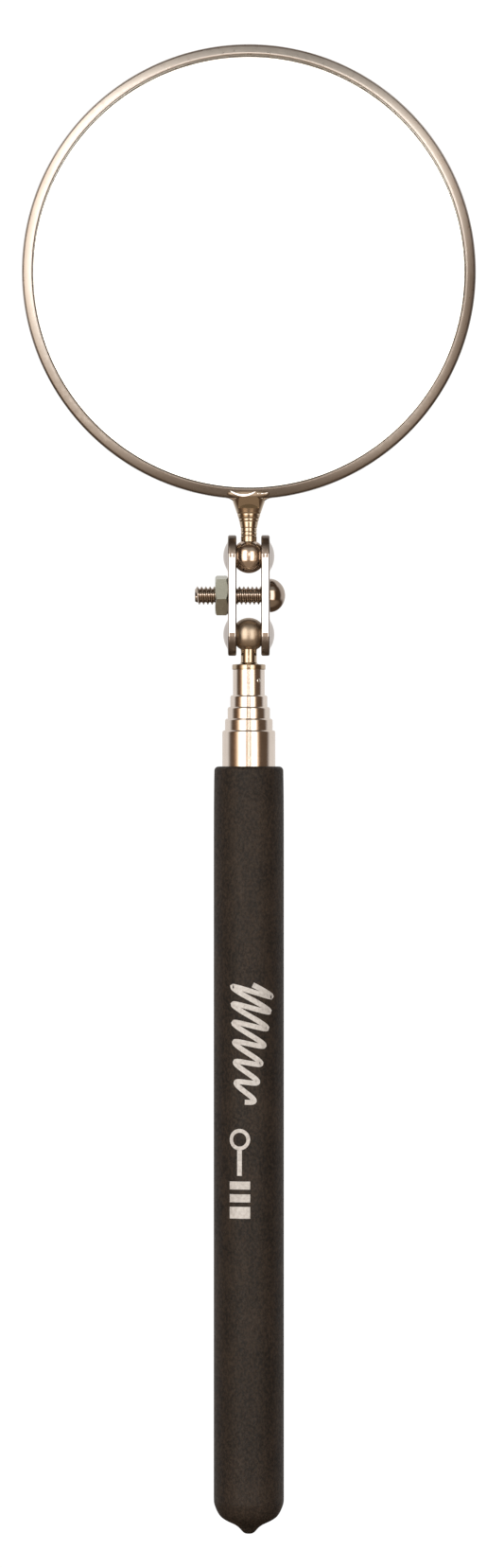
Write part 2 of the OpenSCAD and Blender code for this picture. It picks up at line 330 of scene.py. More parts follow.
tube_nickel = plated("tube_nickel", (0.80, 0.74, 0.68), (0.70, 0.63, 0.56), (0.13, 0.19),
                     "turned", 0.06)
bronze_nickel = plated("bronze_nickel", (0.54, 0.45, 0.34), (0.44, 0.355, 0.26), (0.10, 0.16),
                       "turned", 0.03, mottle=0.6)
satin_nickel = plated("satin_nickel", (0.50, 0.42, 0.33), (0.41, 0.335, 0.26), (0.31, 0.38),
                      line_strength=0.05)
polished_nickel = plated("polished_nickel", (0.66, 0.56, 0.47), (0.55, 0.45, 0.36),
                         (0.14, 0.20), line_strength=0.04)
plate_steel = plated("plate_steel", (0.60, 0.575, 0.56), (0.53, 0.505, 0.485), (0.02, 0.045),
                     line_strength=0.004)
# painted shade: a darker, rougher steel for the plates' round ends, which face dim parts of the
# room
shaded_plate_end = plated("shaded_plate_end", (0.24, 0.205, 0.175), (0.17, 0.14, 0.12), (0.28, 0.40),
                      line_strength=0.05)
screw_steel = plated("screw_steel", (0.47, 0.41, 0.355), (0.37, 0.315, 0.27), (0.05, 0.09),
                     line_strength=0.01)
nut_steel = plated("nut_steel", (0.52, 0.55, 0.49), (0.46, 0.485, 0.43), (0.27, 0.31),
                   line_strength=0.008)
# the case's rim takes painted shade low down
case_steel = plated("case_steel", (0.62, 0.595, 0.57), (0.54, 0.51, 0.485), (0.26, 0.36),
                    "rings", line_centre=(0, 0, MIRROR), shade_colour=(0.27, 0.24, 0.215))
solder_metal = plated("solder_metal", (0.33, 0.265, 0.20), (0.24, 0.19, 0.14), (0.36, 0.46),
                      line_strength=0.03)
# near-white mirror metal on two thin runs over the solder bead: a painted highlight
solder_highlight = plated("solder_highlight", (0.96, 0.94, 0.92), (0.88, 0.86, 0.84), (0.03, 0.05),
                       line_strength=0.004)
brass = plated("brass", (0.78, 0.62, 0.32), (0.6, 0.45, 0.22), (0.25, 0.4), "turned")
spring_bronze = plated("spring_bronze", (0.70, 0.44, 0.26), (0.52, 0.32, 0.18), (0.3, 0.45),
                       "turned")
pin_steel = plated("pin_steel", (0.85, 0.83, 0.79), (0.7, 0.67, 0.62), (0.15, 0.3))


def grip_vinyl():
    """Dipped vinyl with a fine leathery grain."""
    n = Nodes("grip_vinyl")
    cloud = n.noise(n.placed(scale=(1, 1, 0.55)), 230, 3)
    fine = n.noise(n.coords, 1500, 4, 0.65)
    speck = n.noise(n.placed(scale=(1, 1, 0.7)), 2300, 3, 0.7)
    mixed = n.math("ADD", n.math("MULTIPLY", n.between(cloud, 0.38, 0.64), 0.35),
                   n.math("MULTIPLY", n.between(speck, 0.42, 0.60), 0.65))
    warm = n.blend(mixed, rgb(0.0055, 0.0038, 0.0026), rgb(0.036, 0.0245, 0.0165))
    cells = n.add("ShaderNodeTexVoronoi", {"Vector": n.placed(scale=(1, 1, 0.75)),
                                          "Scale": 1150, "Randomness": 1.0},
                  feature="SMOOTH_F1").outputs["Distance"]
    height = n.math("ADD", n.math("MULTIPLY", cells, 0.8), n.math("MULTIPLY", fine, 0.6))
    n.set(Base_Color=warm, Roughness=n.between(fine, 0.3, 0.7, 0.5, 0.68),
          Specular_IOR_Level=0.3)
    n.bump(height, 0.55, 0.00009)
    return n.material


def print_ink():
    """Silver-grey ink, thin in places where the grain shows through."""
    n = Nodes("print_ink")
    speckle = n.noise(n.coords, 1800, 4, 0.7)
    tint = n.blend(n.between(speckle, 0.38, 0.7), rgb(0.62, 0.62, 0.62), rgb(0.44, 0.43, 0.42))
    n.set(Base_Color=tint, Roughness=n.between(speckle, 0.3, 0.7, 0.42, 0.6), Metallic=0.15)
    n.bump(speckle, 0.3, 0.00004)
    return n.material


def mirror_silver():
    """Silvering, nearly white and quite smooth."""
    n = Nodes("mirror_silver")
    cloud = n.noise(n.coords, 40, 2)
    n.set(Base_Color=n.blend(n.between(cloud, 0.3, 0.7), rgb(0.97, 0.975, 0.97),
                             rgb(0.95, 0.96, 0.955)),
          Metallic=1.0, Roughness=0.0)
    return n.material


def clear_glass():
    """Float glass with a faint green cast that varies a little."""
    n = Nodes("clear_glass")
    cloud = n.noise(n.coords, 700, 3)
    n.set(Base_Color=n.blend(n.between(cloud, 0.3, 0.7), rgb(0.985, 0.998, 0.992),
                             rgb(0.975, 0.995, 0.985)),
          Roughness=0.0, IOR=1.52, Transmission_Weight=1.0)
    return n.material


def pressed_board():
    """Brown fibre board."""
    n = Nodes("pressed_board")
    fibre = n.noise(n.placed(scale=(1, 1, 0.3)), 1200, 4, 0.7)
    n.set(Base_Color=n.blend(fibre, rgb(0.36, 0.27, 0.18), rgb(0.52, 0.41, 0.29)),
          Roughness=n.between(fibre, 0.3, 0.7, 0.75, 0.95))
    n.bump(fibre, 0.4, 0.00005)
    return n.material


grip_material = grip_vinyl()
ink_material = print_ink()
silver_material = mirror_silver()
glass_material = clear_glass()
board_material = pressed_board()


# ---------------------------------------------------------------- grip

# outline of the grip's end from its tip up, as (radius, height) in mm: a drip, then the dome
GRIP_END = [(0, 0), (0.45, 0.03), (0.85, 0.17), (1.18, 0.42), (1.47, 0.74), (1.82, 1.12),
            (2.26, 1.48), (2.8, 1.8), (3.4, 2.08), (4.1, 2.42), (4.8, 2.84), (5.38, 3.34),
            (5.82, 3.98), (6.17, 4.7), (6.45, 5.45), (6.57, 6.0), (6.6, 6.6)]


def make_grip():
    """The dipped grip: a rounded shoulder at the top, and a drip at its end."""
    lo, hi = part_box("grip")
    radius, top = hi.x, hi.z
    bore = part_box("tube_1")[1].x
    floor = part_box("base_plug")[0].z
    outline = through([(r * MM, lo.z + h * MM) for r, h in GRIP_END], 3)
    start = outline[-1][1]
    edge = 0.8 * MM
    taper, taper_len = 0.13 * MM, 4 * MM

    def radius_at(z):
        """The grip narrows a little towards its top."""
        return radius - taper * math.exp(-(top - z) / taper_len)

    steps = 70
    outline += [(radius_at(z), z) for z in (start + (top - edge - start) * i / steps
                                            for i in range(1, steps))]
    outline += arc((radius_at(top - edge) - edge, top - edge), edge, 0, 90, 6)
    outline += [(bore + 0.2 * MM, top - 0.02 * MM), (bore, top - 0.2 * MM), (bore, floor),
                (0, floor)]
    bm = turned(outline, segments=128)
    return finish_mesh(bm, "dipped_grip", "handle", grip_material, ["grip"])


make_grip()


def ribbon(bm, path, width):
    """A flat stroke of one width along points (s, z), where s runs round the grip."""
    def across(i):
        """The two sides of the stroke at one point of the path."""
        before, after = path[max(i - 1, 0)], path[min(i + 1, len(path) - 1)]
        along = Vector((after[0] - before[0], 0, after[1] - before[1])).normalized()
        side = Vector((-along.z, 0, along.x)) * width / 2
        middle = Vector((path[i][0], 0, path[i][1]))
        return middle - side, middle + side

    pair = [bm.verts.new(p) for p in across(0)]
    edge = bm.edges.new(pair)
    for i in range(1, len(path)):
        fresh, made = extrude(bm, [edge])
        edge = next(e for e in made if set(e.verts) == set(fresh))
        fresh.sort(key=lambda v: (v.co - pair[0].co).length)
        fresh[0].co, fresh[1].co = across(i)
        pair = fresh


def make_print():
    """A plain mark in silver-grey ink: a wave that dies away, a small mirror and three bars."""
    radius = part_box("grip")[1].x
    bm = bmesh.new()
    waves, wave_top, wave_len, wave_slant = 6.5, 28.6, 22.6, 0.42
    steps = 190
    wave = []
    for i in range(steps + 1):
        t = i / steps
        size = 4.1 - 2.5 * t
        out = 0.75 - 1.5 * t + size * math.sin(2 * math.pi * waves * t ** 0.9)
        wave.append((out * MM, (wave_top - wave_len * t - wave_slant * out) * MM))
    ribbon(bm, wave, 0.95 * MM)
    middle, ring_r, ring_z = -1.75, 1.65, -0.7
    ring = [((middle + ring_r * math.sin(a)) * MM, (ring_z + ring_r * math.cos(a)) * MM)
            for a in (2 * math.pi * i / 48 for i in range(49))]
    ribbon(bm, ring, 0.7 * MM)
    handle_top, handle_step = -2.7, 0.6
    ribbon(bm, [(middle * MM, (handle_top - handle_step * i) * MM) for i in range(9)],
           0.9 * MM)
    bar_start, bar_step = middle - 2.0, 0.25
    for z, height in ((-9.3, 1.5), (-11.7, 1.5), (-14.4, 2.2)):
        ribbon(bm, [((bar_start + bar_step * i) * MM, z * MM) for i in range(17)],
               height * MM)
    same_place, ink_thick, lift = 0.02 * MM, 0.05 * MM, 0.01 * MM
    bmesh.ops.remove_doubles(bm, verts=bm.verts, dist=same_place)
    bmesh.ops.solidify(bm, geom=bm.faces[:], thickness=ink_thick)
    for v in bm.verts:
        turn, out = v.co.x / radius, radius + lift + abs(v.co.y)
        v.co = (out * math.sin(turn), -out * math.cos(turn), v.co.z)
    return finish_mesh(bm, "printed_mark", "handle", ink_material)


make_print()


# ---------------------------------------------------------------- tubes

TUBES = range(1, 6)
BEAD_HEIGHT = 23.7 * MM   # of the stop bead's top above its tube's bottom


def tube_radius(k):
    """Outside radius of a tube, from 5 mm for the first to 3 mm for the fifth."""
    return (5.5 - 0.5 * k) * MM


def make_tube(k):
    """A nested tube with its crimped mouth and, on the inner ones, its stop bead."""
    lo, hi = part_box(f"tube_{k}")
    r, bore = tube_radius(k), tube_radius(k) - TUBE_WALL
    bottom, top = lo.z, hi.z
    outline = [(bore, bottom)]
    if k < TUBES[-1]:
        mouth = tube_radius(k + 1) + 0.05 * MM
        shoulder = 0.42 * MM
        outline += [(bore, top - TUBE_WALL - (bore - mouth)), (mouth, top - TUBE_WALL),
                    (mouth, top - 0.06 * MM), (mouth + 0.06 * MM, top)]
        outline += arc((r - shoulder, top - shoulder), shoulder, 84, 0, 8)
    else:
        outline += [(bore, top), (r, top)]
    if k > TUBES[0]:
        bead = bottom + BEAD_HEIGHT
        proud = 0.1 * MM
        length = 0.6 * MM
        outline += [(r, bead), (r + proud, bead - proud), (r + proud, bead - length + proud),
                    (r, bead - length)]
    outline += [(r, bottom)]
    bm = turned(outline, closed=True)
    body = "handle" if k == TUBES[0] else f"section_{k}"
    return finish_mesh(bm, f"nested_tube_{k}", body, tube_nickel, [f"tube_{k}"])


for number in TUBES:
    make_tube(number)


# ---------------------------------------------------------------- balls and their stems

def make_ball(name, height, body, material, node):
    """One of the two balls of the clamp."""
    bm = bmesh.new()
    bmesh.ops.create_uvsphere(bm, u_segments=64, v_segments=40, radius=BALL_R)
    move(bm, Matrix.Translation((0, 0, height)))
    return finish_mesh(bm, name, body, material, [node])


make_ball("satin_ball", LOWER_BALL, "lower_ball", satin_nickel, "lower_ball")
make_ball("bright_ball", UPPER_BALL, "upper_ball", polished_nickel,
          "upper_ball")


def make_lower_stem():
    """The lower ball's stem: a spigot in the last tube, a flange on it and a thin neck."""
    lo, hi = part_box("lower_ball_stem")
    bore = tube_radius(TUBES[-1]) - TUBE_WALL
    flange_r = hi.x
    flange_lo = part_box("tube_5")[1].z
    flange_hi = flange_lo + 1.0 * MM
    edge, low_edge, fillet = 0.22 * MM, 0.12 * MM, 0.55 * MM
    meet = LOWER_BALL - math.sqrt(BALL_R ** 2 - NECK_R ** 2)
    outline = [(0, lo.z), (bore - 0.2 * MM, lo.z), (bore, lo.z + 0.2 * MM), (bore, flange_lo)]
    outline += arc((flange_r - low_edge, flange_lo + low_edge), low_edge, -90, 0, 3)
    outline += arc((flange_r - edge, flange_hi - edge), edge, 0, 90, 4)
    outline += arc((NECK_R + fillet, flange_hi + fillet), fillet, 270, 180, 6)
    outline += [(NECK_R, meet - 0.3 * MM), (NECK_R + 0.05 * MM, meet + 0.02 * MM),
                (0, meet + 0.05 * MM)]
    bm = turned(outline, segments=80)
    return finish_mesh(bm, "lower_stem", "section_5", bronze_nickel,
                       ["lower_ball_stem"])


make_lower_stem()


def make_pin():
    """The pin's rounded end, standing a little out of the last tube."""
    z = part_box("tube_5")[1].z - 2.1 * MM
    turn = math.radians(39 - 90)
    radius, proud, dome = 0.4 * MM, 0.1 * MM, 0.12 * MM
    inner, outer = 1.35 * MM, tube_radius(TUBES[-1]) + proud
    bm = turned([(0, inner), (radius, inner), (radius, outer - dome)]
                + [(radius * math.cos(a), outer - dome + dome * math.sin(a))
                   for a in (math.radians(18 * i) for i in range(1, 6))], segments=32)
    move(bm, Matrix.Translation((0, 0, z)) @ Matrix.Rotation(turn, 4, "Z")
         @ Matrix.Rotation(math.pi / 2, 4, "Y"))
    return finish_mesh(bm, "stem_pin_end", "section_5", pin_steel, ["stem_pin"])


make_pin()


# ---------------------------------------------------------------- clamp screw and nut

screw_lo, screw_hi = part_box("clamp_screw")
TO_SCREW = Matrix.Translation((0, 0, SCREW)) @ Matrix.Rotation(math.pi / 2, 4, "Y")


def thread(bottom, top, major, minor):
    """An open helical band about Z, cut off at bottom and top."""
    bm = bmesh.new()
    crest, root = PITCH * 0.14, PITCH * 0.24
    half = (PITCH - crest - root) / 2
    start = bottom - 2 * PITCH
    points = [(minor, start), (minor, start + root), (major, start + root + half),
              (major, start + root + half + crest), (minor, start + PITCH)]
    chain(bm, points)
    turns = math.ceil((top - bottom) / PITCH) + 3
    steps = 40
    bmesh.ops.spin(bm, geom=bm.verts[:] + bm.edges[:], cent=(0, 0, 0), axis=(0, 0, 1),
                   angle=2 * math.pi * turns, steps=steps * turns,
                   dvec=(0, 0, PITCH / steps), use_merge=False, use_duplicate=False)
    bmesh.ops.remove_doubles(bm, verts=bm.verts, dist=PITCH / 200)
    for height, clear_up in ((bottom, False), (top, True)):
        cut(bm, (0, 0, height), (0, 0, 1), clear_outer=clear_up, clear_inner=not clear_up)
    return bm


def make_screw():
    """The clamp screw: a thread with a chamfered end, under a round head with a slot."""
    end = screw_lo.x
    head_r, head_h = 3.175 * MM, screw_hi.x - PLATE_OUT
    minor = SCREW_R - 0.56 * PITCH
    chamfer_end, run_out = end + 0.35 * MM, PLATE_OUT - 0.25 * MM
    tip_r, shank_r = minor * 0.86, SCREW_R * 0.97
    on_plane = 1e-6
    bm = thread(chamfer_end, run_out, SCREW_R - 0.02 * MM, minor)
    rim = [e for e in bm.edges if e.is_boundary]
    for low in (True, False):
        at = chamfer_end if low else run_out
        loop = [e for e in rim if all(abs(v.co.z - at) < on_plane for v in e.verts)]
        moved, edges = extrude(bm, loop)
        for v in moved:
            radius = math.hypot(v.co.x, v.co.y)
            if low:
                share = min(radius, tip_r) / radius
                v.co = (v.co.x * share, v.co.y * share, end)
            else:
                share = shank_r / radius
                v.co = (v.co.x * share, v.co.y * share, PLATE_OUT)
        bmesh.ops.holes_fill(bm, edges=edges, sides=0)
    edge, sunk = 0.1 * MM, 0.01 * MM
    head = turned([(0, PLATE_OUT - sunk), (head_r - edge, PLATE_OUT - sunk),
                   (head_r, PLATE_OUT + edge)]
                  + [(head_r * math.cos(a), PLATE_OUT + head_h * math.sin(a))
                     for a in (math.radians(6 * i) for i in range(1, 16))])
    slot_half, slot_depth = 0.45 * MM, 1.3 * MM
    cut_slot(head, slot_half, PLATE_OUT + head_h - slot_depth)
    add_mesh(bm, head)
    move(bm, TO_SCREW)
    return finish_mesh(bm, "round_head_screw", "clamp_screw", screw_steel,
                       ["clamp_screw"], recalc=False)


def cut_slot(bm, half, floor):
    """Cut a straight slot along X into the top of a turned head."""
    for side in (-half, half):
        cut(bm, (0, side, 0), (0, 1, 0))
    cut(bm, (0, 0, floor), (0, 0, 1))
    inside = [f for f in bm.faces
              if abs(f.calc_center_median().y) < half and f.calc_center_median().z > floor]
    bmesh.ops.delete(bm, geom=inside, context="FACES")
    for side in (-half, half):
        wall = [e for e in bm.edges if e.is_boundary
                and all(abs(v.co.y - side) < MERGE for v in e.verts)]
        low = [v for v in bm.verts if abs(v.co.y - side) < MERGE
               and abs(v.co.z - floor) < MERGE]
        ends = sorted(low, key=lambda v: v.co.x)
        wall.append(bm.edges.new((ends[0], ends[-1])))
        bmesh.ops.edgeloop_fill(bm, edges=wall)
    bottom = [e for e in bm.edges if len(e.link_faces) == 1]
    bmesh.ops.edgeloop_fill(bm, edges=bottom)


make_screw()


def make_nut():
    """The hex nut, with its corners chamfered and its bore countersunk at both faces."""
    lo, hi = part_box("clamp_nut")
    thick = hi.x - lo.x
    flats = NUT_FLATS / 2
    slant = math.radians(30)
    corner_r, face_r = flats / math.cos(slant), flats * 0.985
    bore = SCREW_R + 0.08 * MM
    bm = bmesh.new()
    corners = [bm.verts.new((corner_r * math.cos(a), corner_r * math.sin(a), 0))
               for a in (math.radians(60 * i + 90) for i in range(6))]
    for a, b in zip(corners, corners[1:] + corners[:1]):
        bm.edges.new((a, b))
    bmesh.ops.subdivide_edges(bm, edges=bm.edges[:], cuts=11)
    bottom = bm.edges[:]
    raised, top = extrude(bm, bottom)
    for v in raised:
        v.co.z = thick
    for level, into, edges in ((0, 1, bottom), (thick, -1, top)):
        for v in {v for e in edges for v in e.verts}:
            radius = math.hypot(v.co.x, v.co.y)
            v.co.z = level + into * max(0.0, radius - face_r) * math.tan(slant)
        for to, drop in ((face_r, 0.0), (bore + 0.28 * MM, 0.0), (bore - 0.3 * MM, 0.3 * MM)):
            verts, edges = extrude(bm, edges)
            for v in verts:
                radius = math.hypot(v.co.x, v.co.y)
                v.co = (v.co.x * to / radius, v.co.y * to / radius, level + into * drop)
    rims = [e for e in bm.edges if e.is_boundary]
    bmesh.ops.bridge_loops(bm, edges=rims)
    move(bm, TO_SCREW @ Matrix.Translation((0, 0, -PLATE_OUT - thick))
         @ Matrix.Rotation(NUT_TURN, 4, "Z"))
    return finish_mesh(bm, "hex_nut", "clamp_jaw", nut_steel, ["clamp_nut"])


make_nut()


def make_plate(name, side, body, node):
    """A long stamped plate with rolled edges, dished outwards over each ball."""
    half = (UPPER_BALL - LOWER_BALL) / 2
    end_r, hole_r = PLATE_END_R, SCREW_R + 0.15 * MM
    rolled, hole_edge = 0.32 * MM, 0.12 * MM
    dome_r, socket_r = BALL_R + 1.64 * MM, BALL_R + 0.04 * MM
    dish_rings, ring_step = 13, 1 / 12.4
    bm = bmesh.new()

    def edges_of(verts):
        """The edges round a ring of new vertices."""
        return list({e for v in verts for e in v.link_edges if not e.link_faces})

    def circle(x, z, radius, segments=48):
        """A circle of edges on the plate's side, at a height."""
        spot = Matrix.Translation((x, 0, z)) @ Matrix.Rotation(math.pi / 2, 4, "Y")
        return edges_of(bmesh.ops.create_circle(bm, segments=segments, radius=radius,
                                                matrix=spot)["verts"])

    def stadium(x, radius):
        """A long outline with round ends, with a vertex just inside each straight side's ends."""
        inner = half - 0.3 * MM
        points = []
        for end, start in ((1, 0), (-1, 180)):
            points.append((end * radius, end * inner))
            points += [(radius * math.cos(a), end * half + radius * math.sin(a))
                       for a in (math.radians(start + 6 * i) for i in range(31))]
            points.append((-end * radius, end * inner))
        verts = [bm.verts.new((x, y, z)) for y, z in points]
        return [bm.edges.new((a, b)) for a, b in zip(verts, verts[1:] + verts[:1])]

    def outline_at(radius, x):
        """A placing of vertices on the plate's outline, with round ends of a radius."""
        def place(v):
            anchor = max(-half, min(half, v.co.z))
            away = Vector((v.co.y, v.co.z - anchor)).normalized() * radius
            v.co = (x, away.x, anchor + away.y)
        return place

    def circle_at(radius, x, z=0.0):
        """A placing of vertices on a circle about (0, z)."""
        def place(v):
            away = Vector((v.co.y, v.co.z - z)).normalized() * radius
            v.co = (x, away.x, z + away.y)
        return place

    quarter = [math.radians(90 * i / 5) for i in range(1, 6)]
    for x, into, ball in ((PLATE_OUT, -1, dome_r), (PLATE_IN, 1, socket_r)):
        rim = stadium(x, end_r - rolled)
        hole = circle(x, 0, hole_r + hole_edge)
        soft = 0.3 * MM if into < 0 else 0.08 * MM  # width of the bend round each dish
        meet = math.sqrt(ball ** 2 - x ** 2)
        dishes = [(z, circle(x, z, meet + soft)) for z in (-half, half)]
        bmesh.ops.triangle_fill(bm, use_beauty=True, use_dissolve=False, normal=(1, 0, 0),
                                edges=rim + hole + [e for _, ring in dishes for e in ring])
        for t in quarter:
            rim = grow(bm, rim, outline_at(end_r - rolled * (1 - math.sin(t)),
                                           x + into * rolled * (1 - math.cos(t))))
        for t in quarter:
            hole = grow(bm, hole, circle_at(hole_r + hole_edge * (1 - math.sin(t)),
                                            x + into * hole_edge * (1 - math.cos(t))))
        middle_x = (PLATE_IN + PLATE_OUT) / 2
        grow(bm, rim, outline_at(end_r, middle_x))
        grow(bm, hole, circle_at(hole_r, middle_x))
        for z, ring in dishes:
            ring = grow(bm, ring, circle_at(meet + 0.45 * soft, x + 0.06 * soft, z))
            ring = grow(bm, ring, circle_at(meet - 0.1 * soft, x + 0.24 * soft, z))
            first = math.asin((meet - 0.6 * soft) / ball)
            for i in range(dish_rings):
                a = first * (1 - i * ring_step)
                ring = grow(bm, ring, circle_at(ball * math.sin(a), ball * math.cos(a), z))
            bmesh.ops.edgeloop_fill(bm, edges=ring)
    # the round ends take the darker steel: painted shade
    shade_from = half + 0.55 * MM
    for face in bm.faces:
        at = face.calc_center_median()
        out = math.hypot(at.y, max(0.0, abs(at.z) - half))
        if abs(at.z) > shade_from and out > end_r - 0.9 * rolled:
            face.material_index = 1
    move(bm, Matrix.Translation((0, 0, SCREW)) @ Matrix.Diagonal((side, 1, 1, 1)))
    square_on = 0.9998

    def bounds_flat(edge):
        """Whether just one of an edge's faces is part of the plate's flat sides."""
        return sum(abs(f.normal.x) > square_on for f in edge.link_faces) == 1

    piece = finish_mesh(bm, name, body, plate_steel, [node], hard=bounds_flat)
    piece.data.materials.append(shaded_plate_end)
    return piece


make_plate("right_plate", 1, "clamp", "right_clamp_plate")
make_plate("left_plate", -1, "clamp_jaw", "left_clamp_plate")


# ---------------------------------------------------------------- mirror head

def make_neck():
    """The flared neck with its turned grooves and a flat pressed into front and back."""
    bell_len = 5.8 * MM
    bell_z = RIM - bell_len
    meet = UPPER_BALL + math.sqrt(BALL_R ** 2 - NECK_R ** 2)
    grooves = [bell_z + g * MM for g in (-1.1, -0.4, 0.3, 1.5, 2.1, 3.0)]
    groove_depth, groove_half = 0.07 * MM, 0.11 * MM

    def radius_at(z):
        """The neck flares towards the rim, with a shallow groove here and there."""
        flare = max(0.0, (z - bell_z) / bell_len)
        r = NECK_R + (BELL_R - NECK_R) * flare ** 1.3
        for g in grooves:
            r -= groove_depth * math.exp(-((z - g) / groove_half) ** 2)
        return r

    top = RIM + 0.3 * MM
    steps = 110
    outline = [(0, meet - 0.05 * MM), (NECK_R, meet - 0.02 * MM)]
    outline += [(radius_at(z), z) for z in (meet + (RIM - meet) * i / steps
                                            for i in range(1, steps + 1))]
    outline += [(BELL_R, top), (0, top)]
    bm = turned(outline, segments=128)
    step, ledge = 0.06 * MM, RIM - 1.8 * MM
    low_y, high_y = 1.6 * MM, 2.62 * MM
    slope = (high_y - low_y) / (RIM - ledge)
    tilt = Vector((0, 1, -slope)).normalized()

    cut(bm, (0, 0, ledge), (0, 0, 1))
    cut(bm, (0, 0, ledge + step), (0, 0, 1))
    for side in (-1, 1):
        cut(bm, (0, side * low_y, ledge), (0, side * tilt.y, tilt.z))
    for v in bm.verts:
        depth = low_y + slope * (v.co.z - ledge)
        if v.co.z > ledge + step / 2 and abs(v.co.y) > depth:
            v.co.y = math.copysign(depth, v.co.y)

    def pressed(face):
        """Whether a face is part of a pressed flat."""
        return abs(abs(face.normal.y) - tilt.y) < 1e-3 and abs(face.normal.z - tilt.z) < 2e-3

    return finish_mesh(bm, "flared_neck", "mirror_head", bronze_nickel,
                       ["mirror_neck"],
                       hard=lambda e: sum(pressed(f) for f in e.link_faces) == 1)


make_neck()


def to_mirror():
    """Lay a piece turned about Z along Y, with its top towards the front."""
    return Matrix.Translation((0, 0, MIRROR)) @ Matrix.Rotation(math.pi / 2, 4, "X")


def run(left, right, height, sag, thick):
    """A thin flat run that sags and dies away at both ends, on the bead's front: a painted
    highlight on the solder.

    All in mm: its two ends in X, its height above the rim, its sag and its half thickness."""
    bm = bmesh.new()
    turn = Matrix.Rotation(math.pi / 2, 4, "Y")
    lean = Matrix.Rotation(math.radians(-7.5), 3, "X")
    front, bow, depth, rim_bow = -2.73, 0.06, 0.05, 84
    bmesh.ops.create_circle(bm, segments=20, radius=1.0, matrix=turn)
    ring = bm.edges[:]
    steps = 28

    def seat(share):
        """The run's middle and its size, at a share from -1 (left end) to 1 (right end)."""
        x = left + (right - left) * (share + 1) / 2
        z = height + sag * share ** 2 + x ** 2 / rim_bow
        y = front + bow * share ** 2
        return Vector((x * MM, y * MM, RIM + z * MM)), math.sqrt(max(0.004, 1 - share ** 2))

    for v in bm.verts:
        v.co = lean @ Vector((0, v.co.y * depth * MM, v.co.z * thick * MM))
    middle, size = seat(-1)
    for v in bm.verts:
        v.co = middle + v.co * size
    bmesh.ops.edgeloop_fill(bm, edges=ring)
    for i in range(1, steps + 1):
        fresh, made = extrude(bm, ring)
        following, scale = seat(2 * i / steps - 1)
        for v in fresh:
            v.co = following + (v.co - middle) * (scale / size)
        middle, size = following, scale
        ring = [e for e in made if all(v in fresh for v in e.verts)]
    bmesh.ops.edgeloop_fill(bm, edges=ring)
    return bm


def make_solder():
    """Solder where the neck meets the rim: a hollow fillet each side, and a bead in front with
    two thin runs on it in near-white metal, a painted highlight."""
    reach, drop = 1.7 * MM, 1.5 * MM
    outer = BELL_R + reach
    rise = CASE_R - math.sqrt(CASE_R ** 2 - outer ** 2)
    foot, end = RIM - drop, RIM + rise
    foot_r = BELL_R - 0.75 * MM
    curve = [(outer - (outer - foot_r) * math.cos(a), foot + (end - foot) * math.sin(a))
             for a in (math.radians(9 * i) for i in range(11))]
    inside = RIM + 0.35 * MM
    bm = turned([(0, foot), *curve, (outer, inside), (0, inside)])
    flat = 1.5 * MM
    for side in (-1, 1):
        edge = cut(bm, (0, side * flat, 0), (0, side, 0), clear_outer=True)["geom_cut"]
        bmesh.ops.edgeloop_fill(bm, edges=edges_in(edge))
    bead = bmesh.new()
    bead_x, bead_y, above_rim, bead_len = -0.1 * MM, -2.05 * MM, 0.8 * MM, 4.1 * MM
    bmesh.ops.create_uvsphere(bead, u_segments=64, v_segments=32, radius=1.0)
    move(bead, Matrix.Translation((bead_x, bead_y, RIM + above_rim))
         @ Matrix.Diagonal((bead_len, 0.68 * MM, 0.95 * MM, 1)))
    for v in bead.verts:
        along = min(1.0, abs(v.co.x - bead_x) / bead_len) ** 2
        v.co.y = (v.co.y - bead_y) * math.sqrt(1 + along + along ** 2) + bead_y
        v.co.z += v.co.x ** 2 / (2 * (CASE_R - above_rim))
    add_mesh(bm, bead)
    broad, fine = (-3.5, 1.3, 0.6, 0.72, 0.30), (1.4, 3.6, 0.85, 0.1, 0.13)
    for shape in (broad, fine):
        highlight_run = run(*shape)
        # the runs take the near-white metal: a painted highlight
        for face in highlight_run.faces:
            face.material_index = 1
        add_mesh(bm, highlight_run)
    piece = finish_mesh(bm, "neck_solder", "mirror_head", solder_metal,
                        ["solder_fillet"])
    piece.data.materials.append(solder_highlight)
    return piece


make_solder()


def make_case():
    """The sheet case: a cup with a rounded back corner and a sloped lip over the glass's edge."""
    roll, corner, sheet = 1.05 * MM, 1.0 * MM, 0.5 * MM
    half = 2.6 * MM
    touch = 0.08 * MM
    glass_front = half - roll - 0.35 * MM
    lip_r, lip_z = CASE_R - roll, half - roll
    outline = [(0, -half), (CASE_R - corner, -half)]
    outline += arc((CASE_R - corner, -half + corner), corner, -90, 0, 6)[1:]
    slant, outer_edge, inner_edge = math.radians(22), 0.75 * MM, 0.4 * MM
    inner = (lip_r - roll + inner_edge, half - inner_edge)
    run_in = (CASE_R - outer_edge + outer_edge * math.sin(slant)
              - inner[0] - inner_edge * math.sin(slant))
    outer = (CASE_R - outer_edge, inner[1] + (inner_edge - outer_edge) * math.cos(slant)
             - run_in * math.tan(slant))
    outline += arc(outer, outer_edge, 0, 68, 8)
    outline += arc(inner, inner_edge, 68, 180, 12)
    outline += [(lip_r - roll, glass_front + touch), (lip_r - roll + touch, glass_front),
                (lip_r - roll + sheet, glass_front)]
    outline += arc((lip_r, lip_z), roll - sheet, 180, 0, 8)
    outline += arc((CASE_R - corner, -half + corner), corner - sheet, 0, -90, 4)
    outline += [(0, -half + sheet)]
    bm = turned(outline, segments=256)
    move(bm, to_mirror())
    return finish_mesh(bm, "rolled_case", "mirror_head", case_steel,
                       ["mirror_case"])


make_case()


